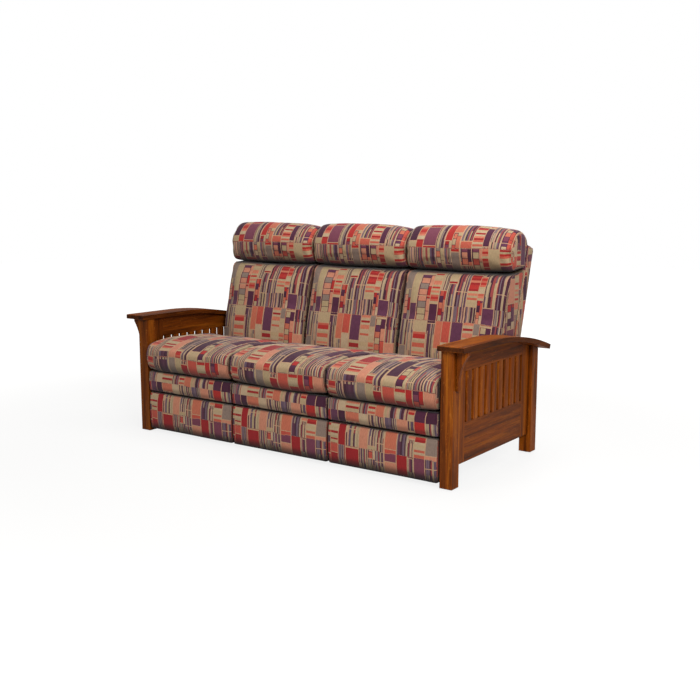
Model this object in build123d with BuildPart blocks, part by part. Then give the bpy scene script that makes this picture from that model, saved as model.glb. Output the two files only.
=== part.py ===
from build123d import *
import math
import os

os.makedirs("parts", exist_ok=True)

# Overall size, with the sofa facing -Y and its base on z = 0
width = 2130.0
depth = 997.0
height = 1155.0
front_y = -depth / 2

# Oak ends: posts, arm boards, rails, stiles and slats
post_size = 64.0
post_front_set_back = 40.0
post_rear_set_back = 87.0
post_edge = 2.0
glide_height = 6.0
glide_radius = 14.0
arm_top_height = 655.0
arm_thickness = 24.0
arm_inner_overhang = 5.0
arm_outer_overhang = 65.0
arm_front_overhang = 27.0
arm_rear_overhang = 4.0
arm_flat_length = 317.0
arm_bow_height = 92.0
arm_edge = 4.0
panel_thickness = 19.0
panel_recess = 20.0
stile_width = 81.0
rail_bottom = 100.0
rail_top = 285.0
top_rail_height = 108.5
slat_count = 9
slat_width = 42.0
slat_edge = 1.5
corbel_thickness = 22.0
corbel_reach = 58.0
corbel_lip = 18.0
corbel_height = 180.0
corbel_toe = 15.0
corbel_mid_share = (0.46, 0.42)

# Cross rails, blocks and the steel rails that carry the three seats
cross_rail_thickness = 25.0
cross_rail_height = 80.0
cross_rail_bottom = 105.0
front_rail_set_back = 210.0
rear_rail_gap = 60.0
block_leg = 45.0
block_height = 60.0
base_rail_width = 20.0
base_rail_height = 25.0
base_rail_bottom = 150.0
track_set_in = 61.5

# Seats: three of equal width in the space between the arm boards
seat_names = ("left", "middle", "right")
seat_gap = 7.0
seat_side_clearance = 4.5
seat_travel = 70.0
travel_clearance = 5.0
plate_thickness = 4.0
shoe_wall = 3.0
shoe_clearance = 1.0
shoe_lift = 0.1
shoe_skirt = 20.0
seat_rail_bottom = 304.0
seat_rail_height = 44.0
seat_rail_width = 45.0
seat_rail_thickness = 25.0
seat_cushion_height = 200.0
back_depth = 392.0
seat_frame_set_in = 6.5
seat_frame_clearance = 0.3
seat_frame_rear_gap = 60.0
strap_count = 5
strap_width = 50.0
strap_thickness = 2.0

# Pivots and links of each footrest, as distances from the front and the floor
pivot_radius = 5.0
running_clearance = 0.05
link_half_width = 11.0
link_thickness = 4.0
link_gap = 1.5
rivet_head_radius = 8.0
rivet_head = 2.0
head_gap = 0.5
swing_pivot = (130.0, 170.0)
knee_pivot = (176.5, 70.3)
toe_pivot = (146.5, 186.5)
back_pivot_set_in = 135.0
back_pivot_height = 285.0
plate_margin = 15.0
plate_lip_height = 12.0
plate_web_lift = 22.0
plate_web_step = 17.0
stretcher_width = 18.0
stretcher_thickness = 4.0
bracket_flange = 30.0
bracket_sheet = 3.0
bracket_low = 100.0
bracket_height = 105.0

# Upholstery: padded front pieces, with a crown from top to bottom and eased ends
pad_set_in = 2.5
pad_front = 28.0
pad_thickness = 46.0
pad_crown = 7.0
pad_corner = 9.0
pad_end_edge = 6.0
corner_share = math.sin(math.pi / 4)
footrest_bottom = 20.0
footrest_height = 210.0
footrest_gap = 3.0
band_clearance = 0.5

# Back shell: a slanted box with a sloping top, in shares of the back's depth and height
shell_lift = 25.0
shell_edge = 6.0
shell_shares = (
    (0.2883, 0.0000),
    (0.4923, 0.0000),
    (1.0000, 0.8639),
    (0.8214, 0.8911),
)

# Soft sections: each one is a start point, then a middle and an end for each arc.
# Seat shares follow the seat's length and the cushion's height, back shares the back's.
section_stations_share = (-1.0, -0.95, -0.75, 0.0, 0.75, 0.95, 1.0)
section_fullness_share = (0.0, 0.5, 0.88, 1.0, 0.88, 0.5, 0.0)
seat_full_shares = (
    (0.9851, 0.0020),
    (0.5289, 0.0015),
    (0.0529, 0.0035),
    (0.0099, 0.1750),
    (0.0000, 0.4300),
    (0.0050, 0.6400),
    (0.0694, 0.7900),
    (0.2645, 0.9000),
    (0.5620, 0.8900),
    (0.7769, 0.8300),
    (0.9719, 0.6500),
    (0.9868, 0.4000),
)
seat_lean_shares = (
    (1.0017, 0.0150),
    (0.5289, 0.0120),
    (0.0727, 0.0200),
    (0.0364, 0.1900),
    (0.0248, 0.4250),
    (0.0314, 0.5900),
    (0.0959, 0.7100),
    (0.2810, 0.7600),
    (0.5620, 0.7300),
    (0.7769, 0.6850),
    (0.9851, 0.6000),
    (1.0017, 0.3750),
)
back_full_shares = (
    (0.3503, 0.1065),
    (0.1913, 0.1041),
    (0.0510, 0.1101),
    (0.0000, 0.1420),
    (0.0026, 0.2012),
    (0.0357, 0.3195),
    (0.1122, 0.4615),
    (0.1582, 0.5680),
    (0.2321, 0.6604),
    (0.2985, 0.7065),
    (0.3954, 0.7160),
    (0.5485, 0.7207),
    (0.7166, 0.7183),
    (0.5332, 0.4130),
)
back_lean_shares = (
    (0.3556, 0.1160),
    (0.2296, 0.1148),
    (0.1301, 0.1207),
    (0.1097, 0.1538),
    (0.1199, 0.2130),
    (0.1556, 0.3314),
    (0.2270, 0.4734),
    (0.2679, 0.5680),
    (0.3214, 0.6651),
    (0.3571, 0.7124),
    (0.4464, 0.7243),
    (0.5740, 0.7302),
    (0.7230, 0.7290),
    (0.5390, 0.4225),
)
pillow_full_shares = (
    (0.7306, 0.7426),
    (0.5357, 0.7290),
    (0.3699, 0.7231),
    (0.2959, 0.7550),
    (0.2781, 0.8189),
    (0.2806, 0.8899),
    (0.3673, 0.9538),
    (0.4719, 0.9917),
    (0.5995, 1.0000),
    (0.7270, 0.9858),
    (0.8125, 0.9172),
    (0.8143, 0.8959),
    (0.8094, 0.8757),
    (0.7694, 0.8083),
)
pillow_lean_shares = (
    (0.7365, 0.7527),
    (0.5485, 0.7432),
    (0.3852, 0.7396),
    (0.3469, 0.7716),
    (0.3367, 0.8260),
    (0.3444, 0.8876),
    (0.4107, 0.9325),
    (0.4847, 0.9657),
    (0.5867, 0.9740),
    (0.6964, 0.9609),
    (0.7959, 0.9136),
    (0.8010, 0.8947),
    (0.7985, 0.8757),
    (0.7666, 0.8142),
)

# Sizes that follow from the ones above
posts_outer_width = width - 2 * arm_outer_overhang
post_spacing_y = depth - post_front_set_back - post_size - post_rear_set_back
bow_run = post_spacing_y + post_size + arm_front_overhang + arm_rear_overhang - arm_flat_length
arm_bow_radius = (bow_run ** 2 + arm_bow_height ** 2) / (2 * arm_bow_height)
arm_bow_angle = math.degrees(math.asin(bow_run / arm_bow_radius))
arm_trim_angle = math.degrees(math.asin((bow_run + arm_thickness) / (arm_bow_radius - arm_thickness)))
slat_top = arm_top_height - arm_thickness - top_rail_height
seats_width = posts_outer_width - 2 * (post_size + arm_inner_overhang + seat_side_clearance)
seat_pitch = (seats_width + seat_gap) / len(seat_names)
seat_half = (seat_pitch - seat_gap) / 2
track_half = seat_half - track_set_in
seat_frame_half = seat_half - seat_frame_set_in
pad_half = seat_half - pad_set_in
strap_spacing = 2 * seat_frame_half / (strap_count + 1)
seat_length = depth - back_depth
back_pivot = (seat_length + back_pivot_set_in, back_pivot_height)
rear_rail_set_back = back_pivot[0] + rear_rail_gap
seat_frame_front = pad_front + pad_thickness + seat_frame_clearance
seat_frame_back = back_pivot[0] - seat_frame_rear_gap
seat_base = seat_rail_bottom + seat_rail_height + strap_thickness
back_base = back_pivot_height + shell_lift


# Helpers: places measured from the front and points from share tables
def place(point):
    return (front_y + point[0], point[1])


def seat_points(shares):
    return [(front_y + seat_length * a, seat_base + seat_cushion_height * b) for a, b in shares]


def back_points(shares):
    start = front_y + seat_length
    return [(start + back_depth * a, back_base + (height - back_base) * b) for a, b in shares]


def between(lean, full, amount):
    pairs = zip(lean, full)
    return [(a[0] + (b[0] - a[0]) * amount, a[1] + (b[1] - a[1]) * amount) for a, b in pairs]


# The space under an arm board, which trims posts, stiles and top rails
def under_arm_face():
    front = front_y + post_front_set_back - arm_front_overhang
    bow_start = front + arm_flat_length
    under = arm_top_height - arm_thickness
    bow_centre = (bow_start, arm_top_height - arm_bow_radius)
    with BuildLine() as outline:
        Line((front, 0), (front, under))
        Line((front, under), (bow_start, under))
        bow = CenterArc(bow_centre, arm_bow_radius - arm_thickness, 90, -arm_trim_angle)
        Line(bow @ 1, ((bow @ 1).X, 0))
        Line(((bow @ 1).X, 0), (front, 0))
    make_face(outline.edges())


# Exporting: one file for each named piece
def save(builder, name):
    builder.part.label = name
    export_step(builder.part, "parts/" + name + ".step")


post_inner = posts_outer_width / 2 - post_size
panel_x = posts_outer_width / 2 - panel_recess - panel_thickness
post_y = front_y + post_front_set_back
stile_front = post_y + post_size
stile_rear = post_y + post_spacing_y
rail_front = stile_front + stile_width
rail_rear = stile_rear - stile_width
sides = (-1, 1)

# Front posts, square oak with eased edges, standing on glides
with BuildPart() as front_posts:
    for side in sides:
        with BuildSketch(Plane.XY.offset(glide_height)):
            with Locations((side * (post_inner + post_size / 2), post_y + post_size / 2)):
                Rectangle(post_size, post_size)
        extrude(amount=arm_top_height - arm_thickness - glide_height)
    chamfer(front_posts.edges().filter_by(Axis.Z), length=post_edge)
save(front_posts, "front_posts")

# Rear posts, shorter and cut to the fall of the arm board
with BuildPart() as rear_posts:
    for side in sides:
        start = side * post_inner if side > 0 else -post_inner - post_size
        with BuildSketch(Plane.YZ.offset(start)):
            under_arm_face()
            with Locations((stile_rear + post_size / 2, glide_height + arm_top_height / 2)):
                Rectangle(post_size, arm_top_height, mode=Mode.INTERSECT)
        extrude(amount=post_size)
    chamfer(rear_posts.edges().filter_by(Axis.Z), length=post_edge)
save(rear_posts, "rear_posts")

# Floor glides under the four posts
with BuildPart() as floor_glides:
    for side in sides:
        for glide_y in (post_y, stile_rear):
            with BuildSketch(Plane.XY):
                with Locations((side * (post_inner + post_size / 2), glide_y + post_size / 2)):
                    Circle(glide_radius)
            extrude(amount=glide_height)
save(floor_glides, "floor_glides")

# Arm boards: flat at the front, then bowed down to the rear
with BuildPart() as arm_boards:
    for side in sides:
        inner = post_inner - arm_inner_overhang
        start = inner if side > 0 else -width / 2
        front = post_y - arm_front_overhang
        bow_start = front + arm_flat_length
        bow_centre = (bow_start, arm_top_height - arm_bow_radius)
        with BuildSketch(Plane.YZ.offset(start)):
            with BuildLine():
                Line((front, arm_top_height - arm_thickness), (front, arm_top_height))
                Line((front, arm_top_height), (bow_start, arm_top_height))
                top = CenterArc(bow_centre, arm_bow_radius, 90, -arm_bow_angle)
                low = CenterArc(bow_centre, arm_bow_radius - arm_thickness, 90, -arm_bow_angle)
                Line(top @ 1, low @ 1)
                Line(low @ 0, (front, arm_top_height - arm_thickness))
            make_face()
        extrude(amount=width / 2 - inner)
    fillet(arm_boards.edges().filter_by(Axis.X), radius=arm_edge)
save(arm_boards, "arm_boards")

# Corbels on the outer side of the front posts, with a lip and a hollow curve
with BuildPart() as corbels:
    for side in sides:
        face = side * posts_outer_width / 2
        top_z = arm_top_height - arm_thickness
        reach = side * corbel_reach
        mid = (face + reach * corbel_mid_share[0], top_z - corbel_height * corbel_mid_share[1])
        toe = (face + side * corbel_toe, top_z - corbel_height)
        start_y = post_y + (post_size + corbel_thickness) / 2
        with BuildSketch(Plane.XZ.offset(-start_y)):
            with BuildLine():
                Line((face, top_z), (face + reach, top_z))
                Line((face + reach, top_z), (face + reach, top_z - corbel_lip))
                ThreePointArc((face + reach, top_z - corbel_lip), mid, toe)
                Line(toe, (face, top_z - corbel_height))
                Line((face, top_z - corbel_height), (face, top_z))
            make_face()
        extrude(amount=corbel_thickness)
save(corbels, "corbels")


# End panels: boards cut from the space under the arm
def end_boards(spans, low, high):
    for side in sides:
        start = panel_x if side > 0 else -panel_x - panel_thickness
        for span in spans:
            with BuildSketch(Plane.YZ.offset(start)) as board:
                under_arm_face()
                with Locations(((span[0] + span[1]) / 2, (low + high) / 2)):
                    Rectangle(span[1] - span[0], high - low, mode=Mode.INTERSECT)
            extrude(board.sketch, amount=panel_thickness)


# Stiles beside each post
with BuildPart() as stiles:
    end_boards(((stile_front, rail_front), (rail_rear, stile_rear)), rail_bottom, arm_top_height)
save(stiles, "stiles")

# Top rails, straight below and bowed above
with BuildPart() as top_rails:
    end_boards(((rail_front, rail_rear),), slat_top, arm_top_height)
save(top_rails, "top_rails")

# Bottom rails
with BuildPart() as bottom_rails:
    end_boards(((rail_front, rail_rear),), rail_bottom, rail_top)
save(bottom_rails, "bottom_rails")

# Slats, evenly spaced between the stiles
slat_gap = (rail_rear - rail_front - slat_count * slat_width) / (slat_count + 1)
with BuildPart() as slats:
    for side in sides:
        for index in range(slat_count):
            slat_y = rail_front + slat_gap + slat_width / 2 + index * (slat_width + slat_gap)
            with BuildSketch(Plane.XY.offset(rail_top)):
                with Locations((side * (panel_x + panel_thickness / 2), slat_y)):
                    Rectangle(panel_thickness, slat_width)
            extrude(amount=slat_top - rail_top)
    chamfer(slats.edges().filter_by(Axis.Z), length=slat_edge)
save(slats, "slats")


# Cross rails between the two ends
def cross_rail(set_back):
    with BuildSketch(Plane.XY.offset(cross_rail_bottom)) as rail:
        with Locations((0, front_y + set_back + cross_rail_thickness / 2)):
            Rectangle(2 * panel_x, cross_rail_thickness)
    extrude(rail.sketch, amount=cross_rail_height)


with BuildPart() as front_cross_rail:
    cross_rail(front_rail_set_back)
save(front_cross_rail, "front_cross_rail")

with BuildPart() as rear_cross_rail:
    cross_rail(rear_rail_set_back)
save(rear_cross_rail, "rear_cross_rail")

# Corner blocks that brace the cross rails against the ends
front_block_y = front_y + front_rail_set_back + cross_rail_thickness
rear_block_y = front_y + rear_rail_set_back
with BuildPart() as corner_blocks:
    for side in sides:
        for corner_y, way in ((front_block_y, 1), (rear_block_y, -1)):
            corner_x = side * panel_x
            with BuildSketch(Plane.XY.offset(cross_rail_bottom)):
                with BuildLine():
                    Polyline(
                        (corner_x, corner_y),
                        (corner_x - side * block_leg, corner_y),
                        (corner_x, corner_y + way * block_leg),
                        close=True,
                    )
                make_face()
            extrude(amount=block_height)
save(corner_blocks, "corner_blocks")

# Steel base rails, two for each seat
seat_centres = [(index - 1) * seat_pitch for index in range(len(seat_names))]
base_rail_length = rear_rail_set_back - front_rail_set_back - cross_rail_thickness
with BuildPart() as base_rails:
    for centre in seat_centres:
        for side in sides:
            with BuildSketch(Plane.XY.offset(base_rail_bottom)):
                with Locations((centre + side * track_half, front_block_y + base_rail_length / 2)):
                    Rectangle(base_rail_width, base_rail_length)
            extrude(amount=base_rail_height)
save(base_rails, "base_rails")


# Soft forms: arcs joined end to end, swelling from each side to the middle
def soft_section(points):
    with BuildLine() as outline:
        for index in range(0, len(points), 2):
            last = points[(index + 2) % len(points)]
            ThreePointArc(points[index], points[index + 1], last)
    make_face(outline.edges())


def soft_solid(centre, half, lean, full):
    sections = []
    for station, fullness in zip(section_stations_share, section_fullness_share):
        with BuildSketch(Plane.YZ.offset(centre + station * half)) as section:
            soft_section(between(lean, full, fullness))
        sections.append(section.sketch)
    loft(sections=sections, ruled=True)


# Padded front boards: a flat back, round front corners and a swelling face
def padded_board(centre, low, high):
    back = front_y + pad_front + pad_thickness
    face = front_y + pad_front + pad_crown
    low_corner = (face + pad_corner - pad_corner * corner_share, low + pad_corner - pad_corner * corner_share)
    high_corner = (low_corner[0], high + low - low_corner[1])
    crown_top = (face - pad_crown, (low + high) / 2)
    with BuildSketch(Plane.YZ.offset(centre - pad_half)) as board:
        with BuildLine():
            Line((back, high), (back, low))
            Line((back, low), (face + pad_corner, low))
            ThreePointArc((face + pad_corner, low), low_corner, (face, low + pad_corner))
            ThreePointArc((face, low + pad_corner), crown_top, (face, high - pad_corner))
            ThreePointArc((face, high - pad_corner), high_corner, (face + pad_corner, high))
            Line((face + pad_corner, high), (back, high))
        make_face()
    extrude(board.sketch, amount=2 * pad_half)


# The two upright front edges of a padded board, one at each end
def end_edges(board):
    faces = board.faces().sort_by(Axis.X)
    return [end.edges().sort_by(Axis.Y)[0] for end in (faces[0], faces[-1])]


# One link: a bar with round eyes between two pivots
def link_bar(start_x, pivot_a, pivot_b, hole_a, hole_b):
    run = (pivot_b[0] - pivot_a[0], pivot_b[1] - pivot_a[1])
    length = (run[0] ** 2 + run[1] ** 2) ** 0.5
    side_step = (run[1] / length * link_half_width, -run[0] / length * link_half_width)
    corners = [
        (pivot_a[0] + side_step[0], pivot_a[1] + side_step[1]),
        (pivot_b[0] + side_step[0], pivot_b[1] + side_step[1]),
        (pivot_b[0] - side_step[0], pivot_b[1] - side_step[1]),
        (pivot_a[0] - side_step[0], pivot_a[1] - side_step[1]),
    ]
    with BuildSketch(Plane.YZ.offset(start_x)) as link:
        with BuildLine():
            Polyline(*corners, close=True)
        make_face()
        with Locations(pivot_a, pivot_b):
            Circle(link_half_width)
        with Locations(pivot_a):
            Circle(hole_a, mode=Mode.SUBTRACT)
        with Locations(pivot_b):
            Circle(hole_b, mode=Mode.SUBTRACT)
    extrude(link.sketch, amount=link_thickness)


def disc(start_x, pivot, radius, length):
    with BuildSketch(Plane.YZ.offset(start_x)) as round_face:
        with Locations(pivot):
            Circle(radius)
    extrude(round_face.sketch, amount=length)


# Near edge of a layer at a given distance from the seat centre, on either side
def layer(centre, side, distance, thickness):
    return centre + distance if side > 0 else centre - distance - thickness


plate_x = track_half - plate_thickness / 2
swing_x = plate_x + plate_thickness + link_gap
riser_x = swing_x + link_thickness + head_gap + rivet_head + 2 * head_gap
ear_x = riser_x + link_thickness + link_gap
swing_at = place(swing_pivot)
knee_at = place(knee_pivot)
toe_at = place(toe_pivot)
back_at = place(back_pivot)
running_hole = pivot_radius + running_clearance

for name, centre in zip(seat_names, seat_centres):
    # Seat cushion, crowned and drawn in at its sides
    with BuildPart() as seat_cushion:
        soft_solid(centre, seat_half, seat_points(seat_lean_shares), seat_points(seat_full_shares))
    save(seat_cushion, "seat_cushion_" + name)

    # Back cushion
    with BuildPart() as back_cushion:
        soft_solid(centre, seat_half, back_points(back_lean_shares), back_points(back_full_shares))
    save(back_cushion, "back_cushion_" + name)

    # Head pillow
    with BuildPart() as head_pillow:
        soft_solid(centre, seat_half, back_points(pillow_lean_shares), back_points(pillow_full_shares))
    save(head_pillow, "head_pillow_" + name)

    # Back shell behind both cushions
    with BuildPart() as back_shell:
        with BuildSketch(Plane.YZ.offset(centre - seat_half)):
            with BuildLine():
                Polyline(*back_points(shell_shares), close=True)
            make_face()
        extrude(amount=2 * seat_half)
        fillet(back_shell.edges().filter_by(Axis.X).group_by(Axis.Z)[-1], radius=shell_edge)
    save(back_shell, "back_shell_" + name)

    # Front band below the seat cushion
    with BuildPart() as front_band:
        padded_board(centre, footrest_bottom + footrest_height + footrest_gap, seat_base - band_clearance)
        chamfer(end_edges(front_band), length=pad_end_edge)
    save(front_band, "front_band_" + name)

    # Footrest board that swings up
    with BuildPart() as footrest_panel:
        padded_board(centre, footrest_bottom, footrest_bottom + footrest_height)
        chamfer(end_edges(footrest_panel), length=pad_end_edge)
    save(footrest_panel, "footrest_panel_" + name)

    # Timber seat frame: two side rails between a front and a rear rail
    with BuildPart() as seat_frame:
        frame_front = front_y + seat_frame_front
        frame_length = seat_frame_back - seat_frame_front
        with BuildSketch(Plane.XY.offset(seat_rail_bottom)):
            for side in sides:
                rail_x = centre + side * (track_half + seat_rail_width / 4)
                with Locations((rail_x, frame_front + frame_length / 2)):
                    Rectangle(seat_rail_width, frame_length)
            for rail_y in (frame_front, frame_front + frame_length - seat_rail_thickness):
                with Locations((centre, rail_y + seat_rail_thickness / 2)):
                    Rectangle(2 * seat_frame_half, seat_rail_thickness)
        extrude(amount=seat_rail_height)
    save(seat_frame, "seat_frame_" + name)

    # Webbing straps across the top of the seat frame
    with BuildPart() as seat_webbing:
        with BuildSketch(Plane.XY.offset(seat_rail_bottom + seat_rail_height)):
            for index in range(strap_count):
                strap_x = centre + (index - (strap_count - 1) / 2) * strap_spacing
                with Locations((strap_x, frame_front + frame_length / 2)):
                    Rectangle(strap_width, frame_length)
        extrude(amount=strap_thickness)
    save(seat_webbing, "seat_webbing_" + name)

    # Steel side plates with shoes that run on the base rails
    with BuildPart() as side_plates:
        web_low = swing_at[1] + plate_web_lift
        for side in sides:
            plate_start = layer(centre, side, plate_x, plate_thickness)
            with BuildSketch(Plane.YZ.offset(plate_start)):
                with BuildLine():
                    Polyline(
                        (swing_at[0] - plate_margin, swing_at[1] - plate_lip_height),
                        (swing_at[0] + plate_margin, swing_at[1] - plate_lip_height),
                        (swing_at[0] + plate_margin + plate_web_step, web_low),
                        (back_at[0] + plate_margin, web_low),
                        (back_at[0] + plate_margin, seat_rail_bottom),
                        (swing_at[0] - plate_margin, seat_rail_bottom),
                        close=True,
                    )
                make_face()
                with Locations(swing_at, back_at):
                    Circle(pivot_radius, mode=Mode.SUBTRACT)
            extrude(amount=plate_thickness)
            rail_x = centre + side * track_half
            shoe_top = base_rail_bottom + base_rail_height + shoe_lift
            shoe_start = front_block_y + seat_travel + travel_clearance
            shoe_end = back_at[0] - 2 * link_half_width
            half_outer = base_rail_width / 2 + shoe_clearance + shoe_wall
            with BuildSketch(Plane.XZ.offset(-shoe_end)):
                with Locations((rail_x, shoe_top + (web_low - shoe_top) / 2)):
                    Rectangle(2 * half_outer, web_low - shoe_top)
                for way in sides:
                    with Locations((rail_x + way * (half_outer - shoe_wall / 2), shoe_top - shoe_skirt / 2)):
                        Rectangle(shoe_wall, shoe_skirt)
            extrude(amount=shoe_end - shoe_start)
    save(side_plates, "side_plates_" + name)

    # Rivets fixed in the side plates, for the footrest arms and the back
    with BuildPart() as pivot_rivets:
        for side in sides:
            shank = plate_thickness + link_gap + link_thickness + head_gap
            for pivot in (swing_at, back_at):
                disc(layer(centre, side, plate_x, shank), pivot, pivot_radius, shank)
                disc(layer(centre, side, plate_x + shank, rivet_head), pivot, rivet_head_radius, rivet_head)
    save(pivot_rivets, "pivot_rivets_" + name)

    # Swing links with a stretcher bar between the two sides
    with BuildPart() as swing_links:
        for side in sides:
            link_start = layer(centre, side, swing_x, link_thickness)
            link_bar(link_start, swing_at, knee_at, running_hole, running_hole)
        middle = ((swing_at[0] + knee_at[0]) / 2, (swing_at[1] + knee_at[1]) / 2)
        with BuildSketch(Plane.YZ.offset(centre - swing_x)):
            with Locations(middle):
                Rectangle(stretcher_thickness, stretcher_width)
        extrude(amount=2 * swing_x)
    save(swing_links, "swing_links_" + name)

    # Riser links
    with BuildPart() as riser_links:
        for side in sides:
            link_start = layer(centre, side, riser_x, link_thickness)
            link_bar(link_start, knee_at, toe_at, pivot_radius, pivot_radius)
    save(riser_links, "riser_links_" + name)

    # Rivets fixed in the riser links, one inward at the knee and one outward at the toe
    with BuildPart() as link_rivets:
        for side in sides:
            knee_inner = swing_x - head_gap
            knee_shank = riser_x + link_thickness - knee_inner
            disc(layer(centre, side, knee_inner, knee_shank), knee_at, pivot_radius, knee_shank)
            knee_head = layer(centre, side, knee_inner - rivet_head, rivet_head)
            disc(knee_head, knee_at, rivet_head_radius, rivet_head)
            toe_shank = ear_x + link_thickness + head_gap - riser_x
            disc(layer(centre, side, riser_x, toe_shank), toe_at, pivot_radius, toe_shank)
            disc(layer(centre, side, riser_x + toe_shank, rivet_head), toe_at, rivet_head_radius, rivet_head)
    save(link_rivets, "link_rivets_" + name)

    # Footrest brackets: an ear to the toe pivot and a flange on the board
    with BuildPart() as footrest_brackets:
        pad_back = front_y + pad_front + pad_thickness
        for side in sides:
            with BuildSketch(Plane.YZ.offset(layer(centre, side, ear_x, link_thickness))):
                with BuildLine():
                    Polyline(
                        (pad_back, bracket_low),
                        (pad_back + bracket_sheet, bracket_low),
                        (toe_at[0], toe_at[1] - link_half_width),
                        (toe_at[0], toe_at[1] + link_half_width),
                        (pad_back, bracket_low + bracket_height),
                        close=True,
                    )
                make_face()
                with Locations(toe_at):
                    Circle(link_half_width)
                with Locations(toe_at):
                    Circle(running_hole, mode=Mode.SUBTRACT)
            extrude(amount=link_thickness)
            flange_start = layer(centre, side, ear_x, bracket_flange)
            with BuildSketch(Plane.XY.offset(bracket_low)):
                with Locations((flange_start + bracket_flange / 2, pad_back + bracket_sheet / 2)):
                    Rectangle(bracket_flange, bracket_sheet)
            extrude(amount=bracket_height)
    save(footrest_brackets, "footrest_brackets_" + name)

    # Hinge brackets under the back shell
    with BuildPart() as hinge_brackets:
        shell_low = back_points(shell_shares[:2])
        for side in sides:
            with BuildSketch(Plane.YZ.offset(layer(centre, side, swing_x, link_thickness))):
                with BuildLine():
                    Polyline(
                        shell_low[0],
                        (back_at[0] - link_half_width, back_at[1]),
                        (back_at[0] + link_half_width, back_at[1]),
                        shell_low[1],
                        close=True,
                    )
                make_face()
                with Locations(back_at):
                    Circle(link_half_width)
                with Locations(back_at):
                    Circle(running_hole, mode=Mode.SUBTRACT)
            extrude(amount=link_thickness)
            flange_start = layer(centre, side, swing_x, bracket_flange)
            flange_length = shell_low[1][0] - shell_low[0][0]
            with BuildSketch(Plane.XY.offset(shell_low[0][1] - bracket_sheet)):
                with Locations((flange_start + bracket_flange / 2, (shell_low[0][0] + shell_low[1][0]) / 2)):
                    Rectangle(bracket_flange, flange_length)
            extrude(amount=bracket_sheet)
    save(hinge_brackets, "hinge_brackets_" + name)
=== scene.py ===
import math

import bmesh
import bpy
import numpy as np
from mathutils import Matrix, Vector


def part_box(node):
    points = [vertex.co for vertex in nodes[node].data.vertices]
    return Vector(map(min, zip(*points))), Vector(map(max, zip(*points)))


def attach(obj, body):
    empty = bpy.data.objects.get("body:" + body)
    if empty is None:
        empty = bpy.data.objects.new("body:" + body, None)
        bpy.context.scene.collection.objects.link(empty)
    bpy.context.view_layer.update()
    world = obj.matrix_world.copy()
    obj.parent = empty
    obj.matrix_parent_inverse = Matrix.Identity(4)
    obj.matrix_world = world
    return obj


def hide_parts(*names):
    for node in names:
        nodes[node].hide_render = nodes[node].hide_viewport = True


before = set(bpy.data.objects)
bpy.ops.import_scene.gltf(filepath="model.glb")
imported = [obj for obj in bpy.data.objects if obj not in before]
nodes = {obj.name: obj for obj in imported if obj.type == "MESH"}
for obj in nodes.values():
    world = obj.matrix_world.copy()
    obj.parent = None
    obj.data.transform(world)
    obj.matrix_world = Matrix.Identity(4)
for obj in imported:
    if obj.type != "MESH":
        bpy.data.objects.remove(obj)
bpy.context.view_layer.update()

scene = bpy.context.scene

# Camera: it stands off the right-hand front corner of the sofa, a little above it,
# where the straight edges of the oak ends and the three equal seats put it.
camera_place = (3.0262, -4.0564, 1.2788)
camera_tilt = math.radians(81.13)
camera_turn = math.radians(35.657)
camera_data = bpy.data.cameras.new("camera")
camera_data.lens = 49.2
camera_data.sensor_width = 36.0
camera = bpy.data.objects.new("camera", camera_data)
camera.location = camera_place
camera.rotation_euler = (camera_tilt, 0.0, camera_turn)
scene.collection.objects.link(camera)
scene.camera = camera
scene.view_settings.view_transform = "Standard"


# Studio: a pale floor that keeps a soft shadow, a white surround, and large soft
# lamps: three in front and above, and one behind for the back of the sofa.
def linear(code):
    """An sRGB hex colour as linear red, green and blue, with full opacity."""
    parts = [int(code[i:i + 2], 16) / 255 for i in (1, 3, 5)]
    return tuple(c / 12.92 if c <= 0.04045 else ((c + 0.055) / 1.055) ** 2.4 for c in parts) + (1.0,)


def node(tree, kind, links=None, **settings):
    """Adds one node. links joins its inputs, values sets them, and any other name sets the node itself."""
    made = tree.nodes.new(kind)
    for name, value in settings.items():
        if name == "values":
            for key, fixed in value.items():
                made.inputs[key].default_value = fixed
        else:
            setattr(made, name, value)
    for key, source in (links or {}).items():
        tree.links.new(source, made.inputs[key])
    return made


def new_material(name):
    """A material that holds one principled shader, ready for its colour, roughness and bump."""
    material = bpy.data.materials.new(name)
    material.use_nodes = True
    tree = material.node_tree
    tree.nodes.clear()
    shader = node(tree, "ShaderNodeBsdfPrincipled")
    output = node(tree, "ShaderNodeOutputMaterial")
    tree.links.new(shader.outputs[0], output.inputs["Surface"])
    return material, tree, shader


world = bpy.data.worlds.new("studio")
scene.world = world
world.use_nodes = True
sky = world.node_tree
sky.nodes.clear()
seen = node(sky, "ShaderNodeLightPath")
soft = node(sky, "ShaderNodeBackground", values={"Color": linear("#f4f4f2"), "Strength": 0.27})
white = node(sky, "ShaderNodeBackground", values={"Color": (1, 1, 1, 1), "Strength": 1.0})
either = node(sky, "ShaderNodeMixShader",
              {0: seen.outputs["Is Camera Ray"], 1: soft.outputs[0], 2: white.outputs[0]})
node(sky, "ShaderNodeOutputWorld", {"Surface": either.outputs[0]})

floor_reach = 14
floor_corners = [(-floor_reach, -floor_reach, 0), (floor_reach, -floor_reach, 0),
                 (floor_reach, floor_reach, 0), (-floor_reach, floor_reach, 0)]
floor_mesh = bpy.data.meshes.new("floor")
floor_mesh.from_pydata(floor_corners, [], [(0, 1, 2, 3)])
floor = bpy.data.objects.new("floor", floor_mesh)
scene.collection.objects.link(floor)
floor_material, tree, shader = new_material("painted_studio_floor")
shader.inputs["Base Color"].default_value = linear("#b9b7b3")
shader.inputs["Roughness"].default_value = 0.75
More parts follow.
